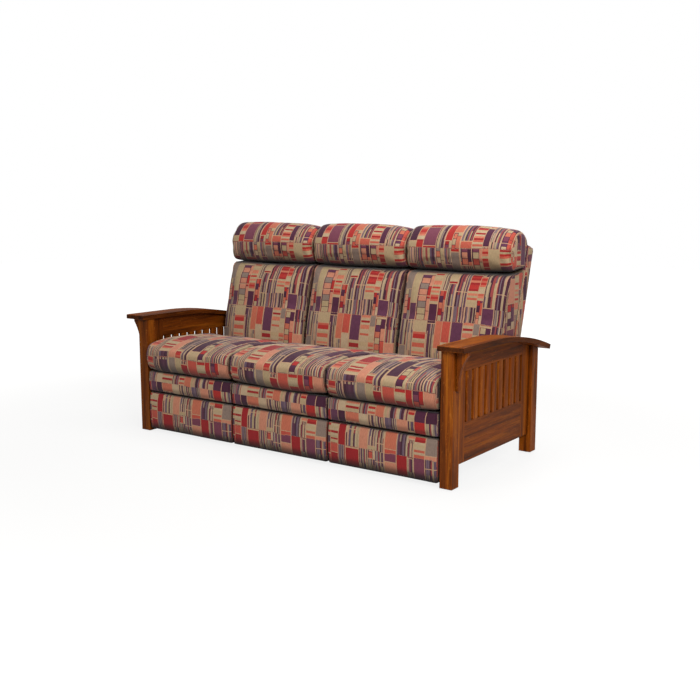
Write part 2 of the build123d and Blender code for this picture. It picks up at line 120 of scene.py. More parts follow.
# the camera sees mostly a white glow, stronger further out, and the rest is the floor with its shadow
seen = node(tree, "ShaderNodeLightPath")
place = node(tree, "ShaderNodeTexCoord").outputs["Object"]
away = node(tree, "ShaderNodeVectorMath", {0: place}, operation="LENGTH")
brighter = node(tree, "ShaderNodeMapRange", {"Value": away.outputs["Value"]}, interpolation_type="SMOOTHSTEP",
                values={"From Min": 1.5, "From Max": 4.5, "To Min": 1.17, "To Max": 1.45})
glow = node(tree, "ShaderNodeEmission", {"Strength": brighter.outputs[0]}, values={"Color": (1, 1, 1, 1)})
share = node(tree, "ShaderNodeMath", {0: seen.outputs["Is Camera Ray"]}, operation="MULTIPLY",
             values={1: 0.72})
mixed = node(tree, "ShaderNodeMixShader", {0: share.outputs[0], 1: shader.outputs[0], 2: glow.outputs[0]})
tree.links.new(mixed.outputs[0], tree.nodes["Material Output"].inputs["Surface"])
floor_mesh.materials.append(floor_material)


def lamp(name, place, aim, size, power):
    """A round soft lamp that stands at place and shines at aim, its size in metres and its power in watts."""
    data = bpy.data.lights.new(name, "AREA")
    data.shape = "DISK"
    data.size = size
    data.energy = power
    thing = bpy.data.objects.new(name, data)
    thing.location = place
    thing.rotation_euler = (Vector(aim) - Vector(place)).to_track_quat("-Z", "Y").to_euler()
    scene.collection.objects.link(thing)


lamp("key", (4.0, -3.3, 3.0), (0.3, 0, 0.5), 2.0, 188)
lamp("fill", (-1.8, -5.0, 2.8), (-0.2, 0, 0.6), 2.2, 56)
lamp("top", (0.9, 0.0, 3.6), (0.3, 0, 0.6), 2.4, 74)
lamp("rear", (-0.6, 4.6, 3.0), (0, 0, 0.6), 2.4, 60)


# Oak ends: posts, stiles, rails, arm boards and corbels of solid oak, glued and
# doweled, fumed and stained a warm brown, with open pores and ray fleck.
def stained_oak(name, grain, warm=1.0, edge=1.0, dark_line_height=None):
    """Quarter-sawn oak under a brown stain and a satin lacquer, which leaves the pores open and shines
    little. Bands, pores and flecks run along the grain axis, and warm lightens them all. A board's long
    sides are darker by edge, and a soft dark line may run along it at the height given last. Painted
    shade darkens the corners where boards meet and the left-hand end."""
    material, tree, shader = new_material(name)
    place = node(tree, "ShaderNodeTexCoord").outputs["Object"]

    def stretched(across, along):
        """A place on the wood, for so many marks to the metre across the grain and along it."""
        scale = [across] * 3
        scale[grain] = along
        return node(tree, "ShaderNodeMapping", {"Vector": place}, values={"Scale": scale}).outputs[0]

    # growth bands of 29 mm, pores of 3 mm, flecks of 8 by 31 mm, and a slow change of tone over 140 mm;
    # real bands and pores are finer, and are drawn this coarse so that they show
    bands = node(tree, "ShaderNodeTexNoise", {"Vector": stretched(34.0, 1.6)},
                 values={"Scale": 1.0, "Detail": 3.0, "Roughness": 0.55, "Distortion": 0.6})
    pores = node(tree, "ShaderNodeTexNoise", {"Vector": stretched(330.0, 9.0)},
                 values={"Scale": 1.0, "Detail": 2.0, "Roughness": 0.6})
    fleck = node(tree, "ShaderNodeTexNoise", {"Vector": stretched(120.0, 32.0)},
                 values={"Scale": 1.0, "Detail": 1.0, "Distortion": 1.4})
    board = node(tree, "ShaderNodeTexNoise", {"Vector": stretched(7.0, 0.8)},
                 values={"Scale": 1.0, "Detail": 1.0})
    tone = node(tree, "ShaderNodeValToRGB", {"Fac": bands.outputs["Fac"]})
    ramp = tone.color_ramp
    ramp.elements[0].position = 0.30
    ramp.elements[0].color = linear("#572602")
    ramp.elements[1].position = 0.72
    ramp.elements[1].color = linear("#ac5e10")
    ramp.elements.new(0.5).color = linear("#884006")
    pore_mask = node(tree, "ShaderNodeValToRGB", {"Fac": pores.outputs["Fac"]})
    pore_mask.color_ramp.elements[0].position = 0.40
    pore_mask.color_ramp.elements[0].color = (0.42, 0.42, 0.42, 1)
    pore_mask.color_ramp.elements[1].position = 0.50
    darker = node(tree, "ShaderNodeMix", {6: tone.outputs[0], 7: pore_mask.outputs[0]},
                  data_type="RGBA", blend_type="MULTIPLY", values={0: 0.65})
    fleck_mask = node(tree, "ShaderNodeValToRGB", {"Fac": fleck.outputs["Fac"]})
    fleck_mask.color_ramp.elements[0].position = 0.66
    fleck_mask.color_ramp.elements[1].position = 0.72
    flecked = node(tree, "ShaderNodeMix", {0: fleck_mask.outputs[0], 6: darker.outputs[2]},
                   data_type="RGBA", values={7: linear("#bd6f24")})
    some = node(tree, "ShaderNodeMix", {6: darker.outputs[2], 7: flecked.outputs[2]},
                data_type="RGBA", values={0: 0.4})
    level = node(tree, "ShaderNodeMapRange", {"Value": board.outputs["Fac"]},
                 values={"From Min": 0.3, "From Max": 0.7, "To Min": 0.80 * warm, "To Max": 1.08 * warm})
    # end grain drinks more stain, so the cut ends are darker
    facing = node(tree, "ShaderNodeSeparateXYZ", {0: node(tree, "ShaderNodeTexCoord").outputs["Normal"]})
    squarely = node(tree, "ShaderNodeMath", {0: facing.outputs[grain]}, operation="ABSOLUTE")
    end_grain = node(tree, "ShaderNodeMapRange", {"Value": squarely.outputs[0]},
                     values={"From Min": 0.80, "From Max": 0.95, "To Min": 1.0, "To Max": 0.30})
    # painted shade: the oak is darker towards the left-hand end, where less light falls
    where = node(tree, "ShaderNodeSeparateXYZ", {0: place})
    painted_leftward_shade = node(tree, "ShaderNodeMapRange", {"Value": where.outputs["X"]},
                 values={"From Min": -0.6, "From Max": 0.6, "To Min": 0.66, "To Max": 0.94})
    toned = node(tree, "ShaderNodeMath", {0: level.outputs[0], 1: painted_leftward_shade.outputs[0]}, operation="MULTIPLY")
    # painted shade: the corners where boards meet are darkened, as shade falls there
    corner = node(tree, "ShaderNodeAmbientOcclusion", samples=8, values={"Distance": 0.010})
    painted_corner_shade = node(tree, "ShaderNodeMapRange", {"Value": corner.outputs["AO"]},
                values={"From Min": 0.45, "From Max": 0.90, "To Min": 0.30, "To Max": 1.0})
    cornered = node(tree, "ShaderNodeMath", {0: toned.outputs[0], 1: painted_corner_shade.outputs[0]}, operation="MULTIPLY")
    depth = node(tree, "ShaderNodeMath", {0: cornered.outputs[0], 1: end_grain.outputs[0]},
                 operation="MULTIPLY")
    # the long sides of a board, facing across the sofa, are darker by edge
    if edge < 1.0:
        sideways = node(tree, "ShaderNodeMath", {0: facing.outputs["X"]}, operation="ABSOLUTE")
        long_side_darkening = node(tree, "ShaderNodeMapRange", {"Value": sideways.outputs[0]},
                          values={"From Min": 0.80, "From Max": 0.95, "To Min": 1.0, "To Max": edge})
        depth = node(tree, "ShaderNodeMath", {0: depth.outputs[0], 1: long_side_darkening.outputs[0]},
                     operation="MULTIPLY")
    # a soft dark line along the board at the height given
    if dark_line_height:
        off_dark_line = node(tree, "ShaderNodeMath", {0: where.outputs["Z"]}, operation="SUBTRACT",
                           values={1: dark_line_height})
        apart = node(tree, "ShaderNodeMath", {0: off_dark_line.outputs[0]}, operation="ABSOLUTE")
        line_darkening = node(tree, "ShaderNodeMapRange", {"Value": apart.outputs[0]}, interpolation_type="SMOOTHSTEP",
                     values={"From Min": 0.0008, "From Max": 0.0060, "To Min": 0.52, "To Max": 1.0})
        depth = node(tree, "ShaderNodeMath", {0: depth.outputs[0], 1: line_darkening.outputs[0]}, operation="MULTIPLY")
    final = node(tree, "ShaderNodeVectorMath", {0: some.outputs[2]}, operation="SCALE")
    tree.links.new(depth.outputs[0], final.inputs["Scale"])
    tree.links.new(final.outputs[0], shader.inputs["Base Color"])
    rough = node(tree, "ShaderNodeMapRange", {"Value": bands.outputs["Fac"]},
                 values={"To Min": 0.34, "To Max": 0.52})
    tree.links.new(rough.outputs[0], shader.inputs["Roughness"])
    eased_edge = node(tree, "ShaderNodeBevel", samples=4, values={"Radius": 0.0022})
    bump = node(tree, "ShaderNodeBump", {"Height": pores.outputs["Fac"], "Normal": eased_edge.outputs[0]},
                values={"Strength": 0.22, "Distance": 0.0006})
    tree.links.new(bump.outputs[0], shader.inputs["Normal"])
    shader.inputs["Specular IOR Level"].default_value = 0.14
    return material


along_x, along_y, along_z = 0, 1, 2
wide_rail_dark_line = 0.217
oak_upright = stained_oak("stained_oak_upright", along_z)
oak_arm = stained_oak("stained_oak_arm", along_y, 1.18, edge=0.48)
oak_rail = stained_oak("stained_oak_rail", along_y, 0.88)
# a soft dark line runs along the wide bottom rail at this height
oak_wide_rail = stained_oak("stained_oak_wide_rail", along_y, 0.88, dark_line_height=wide_rail_dark_line)


def finish_node(name, material):
    """Gives a piece of the frame its finish and leaves its shape as it is."""
    mesh = nodes[name].data
    mesh.materials.clear()
    mesh.materials.append(material)


for name in ("front_posts", "rear_posts", "stiles", "corbels"):
    finish_node(name, oak_upright)
finish_node("arm_boards", oak_arm)
finish_node("top_rails", oak_rail)
finish_node("bottom_rails", oak_wide_rail)

# Slats: nine narrow oak boards in each end, let into the rails, with eased
# edges. They are a little lighter than the posts, and both ends have the same row.
slat_low, slat_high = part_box("slats")
slat_count = 9
slat_width = 0.042
slat_depth = 0.019
slat_edge = 0.0022
slat_edge_facets = 3
slat_pitch = (slat_high.y - slat_low.y - slat_width) / (slat_count - 1)
slat_oak = stained_oak("stained_oak_slat", along_z, 1.12)
slat_inputs = (
    ("Count", "NodeSocketInt", slat_count),
    ("Pitch", "NodeSocketFloat", slat_pitch),
    ("Width", "NodeSocketFloat", slat_width),
    ("Depth", "NodeSocketFloat", slat_depth),
    ("Height", "NodeSocketFloat", slat_high.z - slat_low.z),
)
slat_tree = bpy.data.node_groups.new("slat_row", "GeometryNodeTree")
slat_tree.interface.new_socket("Geometry", in_out="OUTPUT", socket_type="NodeSocketGeometry")
for label, kind, value in slat_inputs:
    slat_tree.interface.new_socket(label, in_out="INPUT", socket_type=kind).default_value = value
row_in = node(slat_tree, "NodeGroupInput")
spaces = node(slat_tree, "ShaderNodeMath", {0: row_in.outputs["Count"]}, operation="SUBTRACT",
              values={1: 1.0})
run = node(slat_tree, "ShaderNodeMath", {0: spaces.outputs[0], 1: row_in.outputs["Pitch"]},
           operation="MULTIPLY")
back = node(slat_tree, "ShaderNodeMath", {0: run.outputs[0]}, operation="MULTIPLY", values={1: -0.5})
first = node(slat_tree, "ShaderNodeCombineXYZ", {"Y": back.outputs[0]})
step = node(slat_tree, "ShaderNodeCombineXYZ", {"Y": row_in.outputs["Pitch"]})
line = node(slat_tree, "GeometryNodeMeshLine",
            {"Count": row_in.outputs["Count"], "Start Location": first.outputs[0], "Offset": step.outputs[0]})
rect = node(slat_tree, "GeometryNodeCurvePrimitiveQuadrilateral",
            {"Width": row_in.outputs["Depth"], "Height": row_in.outputs["Width"]})
eased = node(slat_tree, "GeometryNodeFilletCurve", {0: rect.outputs[0]}, mode="POLY",
             values={"Count": slat_edge_facets, "Radius": slat_edge})
height = node(slat_tree, "ShaderNodeCombineXYZ", {"Z": row_in.outputs["Height"]})
upright = node(slat_tree, "GeometryNodeCurvePrimitiveLine", {"End": height.outputs[0]})
swept = node(slat_tree, "GeometryNodeCurveToMesh", {0: upright.outputs[0], 1: eased.outputs[0]},
             values={"Fill Caps": True})
spread = node(slat_tree, "GeometryNodeInstanceOnPoints",
              {"Points": line.outputs[0], "Instance": swept.outputs[0]})
solid = node(slat_tree, "GeometryNodeRealizeInstances", {0: spread.outputs[0]})
painted = node(slat_tree, "GeometryNodeSetMaterial", {0: solid.outputs[0]})
painted.inputs["Material"].default_value = slat_oak
node(slat_tree, "NodeGroupOutput", {0: painted.outputs[0]})


def grown(name, tree):
    """Runs one node tree, and returns its result as a plain mesh."""
    shell = bpy.data.objects.new(name, bpy.data.meshes.new(name))
    scene.collection.objects.link(shell)
    shell.modifiers.new("grow", "NODES").node_group = tree
    bpy.context.view_layer.update()
    mesh = bpy.data.meshes.new_from_object(shell.evaluated_get(bpy.context.evaluated_depsgraph_get()))
    shell.modifiers.clear()
    bpy.data.objects.remove(shell)
    return mesh


slat_mesh = bmesh.new()
for side in (-1, 1):
    row = grown("slat_row", slat_tree)
    row_place = (side * (slat_high.x - slat_depth / 2), (slat_low.y + slat_high.y) / 2, slat_low.z)
    row.transform(Matrix.Translation(row_place))
    slat_mesh.from_mesh(row)
bmesh.ops.recalc_face_normals(slat_mesh, faces=slat_mesh.faces)
slat_data = bpy.data.meshes.new("oak_slats")
slat_mesh.to_mesh(slat_data)
slat_mesh.free()
slat_data.materials.append(slat_oak)
oak_slats = bpy.data.objects.new("oak_slats", slat_data)
scene.collection.objects.link(oak_slats)
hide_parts("slats")
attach(oak_slats, "frame")


# Hidden timber: pine cross rails, corner blocks and seat frames, sawn and
# planed but bare, with soft wide grain and a dry surface.
def bare_pine(name, grain):
    """Planed pine with no finish: pale, dry to the eye, with bands of 25 by 500 mm along the grain axis."""
    material, tree, shader = new_material(name)
    place = node(tree, "ShaderNodeTexCoord").outputs["Object"]
    scale = [40.0] * 3
    scale[grain] = 2.0
    wide = node(tree, "ShaderNodeMapping", {"Vector": place}, values={"Scale": scale})
    bands = node(tree, "ShaderNodeTexNoise", {"Vector": wide.outputs[0]},
                 values={"Scale": 1.0, "Detail": 3.0, "Distortion": 0.8})
    tone = node(tree, "ShaderNodeValToRGB", {"Fac": bands.outputs["Fac"]})
    tone.color_ramp.elements[0].position = 0.32
    tone.color_ramp.elements[0].color = linear("#a97f4c")
    tone.color_ramp.elements[1].position = 0.68
    tone.color_ramp.elements[1].color = linear("#d0aa74")
    # painted shade: the pine is darkened in the narrow gaps between the seats, where shade falls
    near = node(tree, "ShaderNodeAmbientOcclusion", samples=8, values={"Distance": 0.05})
    painted_gap_shade = node(tree, "ShaderNodeMapRange", {"Value": near.outputs["AO"]},
                values={"From Min": 0.35, "From Max": 0.95, "To Min": 0.08, "To Max": 1.0})
    gap_shaded_tone = node(tree, "ShaderNodeVectorMath", {0: tone.outputs[0]}, operation="SCALE")
    tree.links.new(painted_gap_shade.outputs[0], gap_shaded_tone.inputs["Scale"])
    tree.links.new(gap_shaded_tone.outputs[0], shader.inputs["Base Color"])
    rough = node(tree, "ShaderNodeMapRange", {"Value": bands.outputs["Fac"]},
                 values={"To Min": 0.62, "To Max": 0.8})
    tree.links.new(rough.outputs[0], shader.inputs["Roughness"])
    bump = node(tree, "ShaderNodeBump", {"Height": bands.outputs["Fac"]},
                values={"Strength": 0.15, "Distance": 0.0006})
    tree.links.new(bump.outputs[0], shader.inputs["Normal"])
    return material


def across_sofa(name):
    """The middle and the half width of a CAD piece across the sofa, to a tenth of a millimetre."""
    low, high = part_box(name)
    return round((low.x + high.x) / 2, 4), round((high.x - low.x) / 2, 4)


seat_centres = {seat: across_sofa("seat_cushion_" + seat)[0] for seat in ("left", "middle", "right")}
pine_across = bare_pine("bare_pine_across", along_x)
pine_lengthways = bare_pine("bare_pine_lengthways", along_y)
for name in ("front_cross_rail", "rear_cross_rail", "corner_blocks"):
    finish_node(name, pine_across)
for seat in seat_centres:
    finish_node("seat_frame_" + seat, pine_lengthways)


# Steel parts of the reclining gear: plates and links cut from sheet and powder
# coated black, and the turned rivets that join them, which are zinc plated.
def mottled(name, patches, detail, dark, light, smooth, rough):
    """A material that drifts between two tones and two roughnesses, with so many patches to the metre."""
    material, tree, shader = new_material(name)
    place = node(tree, "ShaderNodeTexCoord").outputs["Object"]
    patch = node(tree, "ShaderNodeTexNoise", {"Vector": place}, values={"Scale": patches, "Detail": detail})
    tone = node(tree, "ShaderNodeValToRGB", {"Fac": patch.outputs["Fac"]})
    tone.color_ramp.elements[0].color = linear(dark)
    tone.color_ramp.elements[1].color = linear(light)
    tree.links.new(tone.outputs[0], shader.inputs["Base Color"])
    dulled = node(tree, "ShaderNodeMapRange", {"Value": patch.outputs["Fac"]},
                  values={"To Min": smooth, "To Max": rough})
    tree.links.new(dulled.outputs[0], shader.inputs["Roughness"])
    return material, tree, shader


# a powder coat is satin, and its orange peel, drawn at 2.4 mm, breaks up the reflections
black_steel, tree, shader = mottled("powder_coated_steel", 18.0, 2.0, "#141414", "#2b2b2c", 0.38, 0.55)
place = node(tree, "ShaderNodeTexCoord").outputs["Object"]
peel = node(tree, "ShaderNodeTexNoise", {"Vector": place}, values={"Scale": 420.0, "Detail": 2.0})
bump = node(tree, "ShaderNodeBump", {"Height": peel.outputs["Fac"]},
            values={"Strength": 0.12, "Distance": 0.0004})
tree.links.new(bump.outputs[0], shader.inputs["Normal"])
# zinc plate is a pale metal, uneven in tone and shine over patches of 11 mm
zinc, _, shader = mottled("zinc_plated_steel", 90.0, 3.0, "#8f9296", "#c2c4c6", 0.28, 0.45)
shader.inputs["Metallic"].default_value = 1.0
finish_node("base_rails", black_steel)
for seat in seat_centres:
    for part in ("side_plates", "swing_links", "riser_links", "footrest_brackets", "hinge_brackets"):
        finish_node(part + "_" + seat, black_steel)
    for part in ("pivot_rivets", "link_rivets"):
        finish_node(part + "_" + seat, zinc)


# Floor glides and seat webbing: the glides are moulded in black nylon, which the
# floor has dulled, and the webbing is black elastic strap, ribbed across its length.
def elastic_webbing():
    """Woven rubber and yarn: matt black, with ribs 2 mm apart that catch a little light."""
    material, tree, shader = new_material("woven_elastic_webbing")
    place = node(tree, "ShaderNodeTexCoord").outputs["Object"]
    ribs = node(tree, "ShaderNodeTexWave", {"Vector": place}, bands_direction="Y", values={"Scale": 160.0})
    tone = node(tree, "ShaderNodeValToRGB", {"Fac": ribs.outputs["Fac"]})
    tone.color_ramp.elements[0].color = linear("#17171a")
    tone.color_ramp.elements[1].color = linear("#3a3a3f")
    tree.links.new(tone.outputs[0], shader.inputs["Base Color"])
    bump = node(tree, "ShaderNodeBump", {"Height": ribs.outputs["Fac"]},
                values={"Strength": 0.4, "Distance": 0.0006})
    tree.links.new(bump.outputs[0], shader.inputs["Normal"])
    shader.inputs["Roughness"].default_value = 0.85
    return material


# moulded nylon is dull where it rubs, with scuffs drawn at 4 mm
nylon = mottled("moulded_nylon", 240.0, 3.0, "#1b1a19", "#34322f", 0.45, 0.65)[0]
webbing = elastic_webbing()
finish_node("floor_glides", nylon)
for seat in seat_centres:
    finish_node("seat_webbing_" + seat, webbing)


# Cover cloth: a heavy woven upholstery fabric in a generic patchwork of upright
# blocks, pinstripes and short bars in khaki, taupe, brick, coral, plum and mauve.
# The same length of cloth runs down every seat.
block_colours = ("#ad9370", "#971b1e", "#ba9f80", "#4e2038", "#b84c3c", "#b19874", "#431a30",
                 "#be684e", "#877367", "#74384a", "#a8241f", "#ad9570", "#5e3048", "#c27f64")
thread_colours = ("#a58c6e", "#48202f", "#b59e7e", "#725a62", "#93403e", "#401e2e",
                  "#aa926e", "#624c5c", "#b88c72", "#583042", "#8e7a68", "#4e283a")
bar_colours = ("#b59c7c", "#b95844", "#ad9370", "#ac2a24", "#b19874", "#c47258", "#972020", "#b59c7c")
line_colour = "#bd9472"


def stepped(tree, source, codes):
    """A ramp of plain woven colours with sharp changes, one for each thread group."""
    ramp = node(tree, "ShaderNodeValToRGB", {"Fac": source})
    ramp.color_ramp.interpolation = "CONSTANT"
    elements = ramp.color_ramp.elements
    while len(elements) > 1:
        elements.remove(elements[-1])
    for index, code in enumerate(codes):
        entry = elements[0] if index == 0 else elements.new(index / len(codes))
        entry.position = index / len(codes)
        entry.color = linear(code)
    return ramp.outputs[0]


def patchwork_cloth():
    """Heavy upholstery cloth in a plain weave: matt, with a little sheen from its nap, and painted shade in
    its creases.
    Its pattern follows the cloth attribute: across the cloth, down it, and how far off a seam is."""
    material, tree, shader = new_material("woven_patchwork_upholstery")
    laid = node(tree, "ShaderNodeAttribute", attribute_name="cloth", attribute_type="GEOMETRY")
    cloth = laid.outputs["Vector"]
    uv = node(tree, "ShaderNodeSeparateXYZ", {0: cloth})
    # two waves, 217 and 94 mm long, bend the measure across the cloth, so that the columns differ in width
    across = uv.outputs["X"]
    for cycle, swing in ((29.0, 0.011), (67.0, 0.0045)):
        turn = node(tree, "ShaderNodeMath", {0: uv.outputs["X"]}, operation="MULTIPLY_ADD",
                    values={1: cycle, 2: 1.3})
        sine = node(tree, "ShaderNodeMath", {0: turn.outputs[0]}, operation="SINE")
        bent = node(tree, "ShaderNodeMath", {0: sine.outputs[0], 2: across}, operation="MULTIPLY_ADD",
                    values={1: swing})
        across = bent.outputs[0]
    turned = node(tree, "ShaderNodeCombineXYZ", {"X": uv.outputs["Y"], "Y": across})

    def blocks(long, wide, line, start, offset=0.37, squash=0.62, every=3):
        """A grid of blocks, long down the cloth and wide across it, with a line round each."""
        moved = node(tree, "ShaderNodeVectorMath", {0: turned.outputs[0]}, operation="ADD", values={1: start})
        return node(tree, "ShaderNodeTexBrick", {"Vector": moved.outputs[0]},
                    offset=offset, squash=squash, squash_frequency=every,
                    values={"Color1": (0, 0, 0, 1), "Color2": (1, 1, 1, 1), "Mortar": (0.5, 0.5, 0.5, 1),
                            "Scale": 1.0, "Mortar Size": line, "Mortar Smooth": 0.0,
                            "Brick Width": long, "Row Height": wide})

    # one grid of upright blocks; far-off rows of the same grid give each block its own kind
    column = 0.054
    rows_off = 42
    large = blocks(0.20, column, 0.0020, (0.31, 0.017, 0))
    kind = blocks(0.20, column, 0.0, (0.31, 0.017 + column * rows_off, 0))
    small = blocks(0.066, 0.027, 0.0014, (1.73, 0.011, 0), 0.5, 0.5, 2)
    stripes = blocks(0.23, 0.0058, 0.0, (2.9, 0.002, 0), 0.41, 0.8, 4)
    bars = blocks(0.0115, column, 0.0, (4.1, 0.017, 0), 0.0, 1.0, 2)
    choice = node(tree, "ShaderNodeSeparateColor", {0: kind.outputs["Color"]}).outputs[0]
    picture = stepped(tree, large.outputs["Color"], block_colours)
    # a block whose kind is past each level is pinstriped, cut into small blocks or barred
    for level, grid, colours in ((0.36, stripes, thread_colours), (0.70, small, block_colours[::-1]),
                                 (0.82, bars, bar_colours)):
        past = node(tree, "ShaderNodeMath", {0: choice}, operation="GREATER_THAN", values={1: level})
        filling = stepped(tree, grid.outputs["Color"], colours)
        filled = node(tree, "ShaderNodeMix", {0: past.outputs[0], 6: picture, 7: filling}, data_type="RGBA")
        picture = filled.outputs[2]
    lined = node(tree, "ShaderNodeMix", {0: large.outputs["Fac"], 6: picture}, data_type="RGBA",
                 values={7: linear(line_colour)})
    # threads: about 1 mm apart on the real cloth, and drawn 3.2 mm apart so that they show, with thicker
    # stretches of 2.4 by 17 mm
    thread_values = {"Scale": 98.0, "Distortion": 0.6, "Detail": 1.0}
    warp = node(tree, "ShaderNodeTexWave", {"Vector": cloth}, bands_direction="X", values=thread_values)
    weft = node(tree, "ShaderNodeTexWave", {"Vector": cloth}, bands_direction="Y", values=thread_values)
    weave = node(tree, "ShaderNodeMath", {0: warp.outputs["Fac"], 1: weft.outputs["Fac"]},
                 operation="MULTIPLY")
    slub_place = node(tree, "ShaderNodeMapping", {"Vector": cloth}, values={"Scale": (420.0, 60.0, 1.0)})
    slub = node(tree, "ShaderNodeTexNoise", {"Vector": slub_place.outputs[0]},
                values={"Scale": 1.0, "Detail": 2.0})
    shade = node(tree, "ShaderNodeMapRange", {"Value": weave.outputs[0]},
                 values={"To Min": 0.80, "To Max": 1.10})
    slubbed = node(tree, "ShaderNodeMapRange", {"Value": slub.outputs["Fac"]},
                   values={"From Min": 0.25, "From Max": 0.75, "To Min": 0.80, "To Max": 1.16})
    both = node(tree, "ShaderNodeMath", {0: shade.outputs[0], 1: slubbed.outputs[0]}, operation="MULTIPLY")
    woven = node(tree, "ShaderNodeVectorMath", {0: lined.outputs[2]}, operation="SCALE")
    tree.links.new(both.outputs[0], woven.inputs["Scale"])
    # the seam: a dark pressed-in line a little way in from each side of a piece
    seam = node(tree, "ShaderNodeMapRange", {"Value": uv.outputs["Z"]},
                values={"From Min": 0.0, "From Max": 0.0022, "To Min": 0.35, "To Max": 1.0})
    seamed = node(tree, "ShaderNodeVectorMath", {0: woven.outputs[0]}, operation="SCALE")
    tree.links.new(seam.outputs[0], seamed.inputs["Scale"])
    # painted shade: the cloth is darkened where another piece is close by, on faces that turn downwards, and
    # near the floor
    near = node(tree, "ShaderNodeAmbientOcclusion", samples=8, values={"Distance": 0.035})
    painted_crease_shade = node(tree, "ShaderNodeMapRange", {"Value": near.outputs["AO"]},
                  values={"From Min": 0.25, "From Max": 0.85, "To Min": 0.12, "To Max": 1.0})
    facing = node(tree, "ShaderNodeSeparateXYZ", {0: node(tree, "ShaderNodeTexCoord").outputs["Normal"]})
    painted_underside_shade = node(tree, "ShaderNodeMapRange", {"Value": facing.outputs["Z"]},
                 values={"From Min": -0.80, "From Max": -0.10, "To Min": 0.15, "To Max": 1.0})
    # painted shadow near the floor: the cloth darkens below 82 mm above it
    height = node(tree, "ShaderNodeSeparateXYZ", {0: node(tree, "ShaderNodeNewGeometry").outputs["Position"]})
    low = node(tree, "ShaderNodeMapRange", {"Value": height.outputs["Z"]}, interpolation_type="SMOOTHSTEP",
               values={"From Min": 0.024, "From Max": 0.082, "To Min": 0.08, "To Max": 1.0})
    below = node(tree, "ShaderNodeMath", {0: low.outputs[0], 1: painted_underside_shade.outputs[0]}, operation="MULTIPLY")
    shaded = node(tree, "ShaderNodeMath", {0: painted_crease_shade.outputs[0], 1: below.outputs[0]}, operation="MULTIPLY")
    creased = node(tree, "ShaderNodeVectorMath", {0: seamed.outputs[0]}, operation="SCALE")
    tree.links.new(shaded.outputs[0], creased.inputs["Scale"])
    tree.links.new(creased.outputs[0], shader.inputs["Base Color"])
    lift = node(tree, "ShaderNodeMath", {0: weave.outputs[0], 1: seam.outputs[0]}, operation="ADD")
    bump = node(tree, "ShaderNodeBump", {"Height": lift.outputs[0]},
                values={"Strength": 0.35, "Distance": 0.0007})
    tree.links.new(bump.outputs[0], shader.inputs["Normal"])
    shader.inputs["Roughness"].default_value = 0.88
    shader.inputs["Sheen Weight"].default_value = 0.12
    shader.inputs["Sheen Roughness"].default_value = 0.5
    shader.inputs["Specular IOR Level"].default_value = 0.25
    return material


cloth_material = patchwork_cloth()


# Covers: sewn cloth over foam and fibre, on the cushions, pillows, bands, footrests
# and back shells. One of each is made from the middle seat's closed form, takes its
# relief from a pressure simulation, and is carried to the three seats.
def welded_copy(name, source):
    """A merged copy of a closed form, ready to be shaped."""
    mesh = bmesh.new()
    mesh.from_mesh(nodes[source].data)
    bmesh.ops.remove_doubles(mesh, verts=mesh.verts, dist=0.00005)
    data = bpy.data.meshes.new(name)
    mesh.to_mesh(data)
    mesh.free()
    thing = bpy.data.objects.new(name, data)
    scene.collection.objects.link(thing)
    return thing


def apply_modifiers(thing):
    """Works an object's modifiers into its mesh, and takes them off."""
    bpy.context.view_layer.update()
    mesh = bpy.data.meshes.new_from_object(thing.evaluated_get(bpy.context.evaluated_depsgraph_get()))
    thing.modifiers.clear()
    old = thing.data
    thing.data = mesh
    bpy.data.meshes.remove(old)


def vertex_values(mesh, kind):
    """One row for each vertex: its place for co, or its outward direction for normal."""
    values = np.empty(len(mesh.vertices) * 3)
    mesh.vertices.foreach_get(kind, values)
    return values.reshape(-1, 3)


def put_points(mesh, points):
    """Moves the vertices of a mesh to the places given."""
    mesh.vertices.foreach_set("co", np.ascontiguousarray(points, dtype=np.float32).ravel())
    mesh.update()


def stuffed(name, source, voxel, inset, pressure, cap):
    """Remeshes a closed form evenly, draws it in by inset, swells it as cloth, and keeps its relief up to
    cap. The relief is laid on the form itself, because the cloth as a whole shrinks away from it."""
    thing = welded_copy(name, source)
    thing.modifiers.new("even", "REMESH").voxel_size = voxel
    smooth = thing.modifiers.new("ease", "SMOOTH")
    smooth.iterations = 6
    smooth.factor = 0.5
    apply_modifiers(thing)
    rest = vertex_values(thing.data, "co")
    normals = vertex_values(thing.data, "normal")
    frames = 16
    put_points(thing.data, rest - normals * inset)
    cloth = thing.modifiers.new("stuffing", "CLOTH")
    settings = cloth.settings
    settings.quality = 4
    settings.mass = 0.35
    settings.tension_stiffness = 22
    settings.compression_stiffness = 22
    settings.shear_stiffness = 8
    settings.bending_stiffness = 1.2
    settings.use_pressure = True
    settings.uniform_pressure_force = pressure
    settings.effector_weights.gravity = 0
    cloth.collision_settings.use_collision = False
    cloth.point_cache.frame_start = 1
    cloth.point_cache.frame_end = frames
    for step_index in range(1, frames + 1):
        scene.frame_set(step_index)
    apply_modifiers(thing)
    scene.frame_set(1)
    swelled = vertex_values(thing.data, "co") - rest
    outward = np.sum(swelled * normals, axis=1, keepdims=True)
    relief = swelled - normals * outward.mean()
    far = np.linalg.norm(relief, axis=1, keepdims=True)
    relief *= np.minimum(1.0, cap / np.maximum(far, 1e-9))
    put_points(thing.data, rest + relief)
    thing.modifiers.new("fine", "SUBSURF").levels = 1
    apply_modifiers(thing)
    return thing


def eased_rise(share):
    """A rise from 0 to 1 that starts and ends gently."""
    share = np.clip(share, 0, 1)
    return share * share * (3 - 2 * share)


def squared_ends(points, limit, out):
    """Moves the rounded ends of a piece outwards by out, up to limit, so that its corners are tight."""
    reach = 0.015
    across = np.abs(points[:, 0])
    share = np.clip((across - limit + reach) / reach, 0, 1)
    points[:, 0] = np.sign(points[:, 0]) * np.minimum(limit, across + out * share)


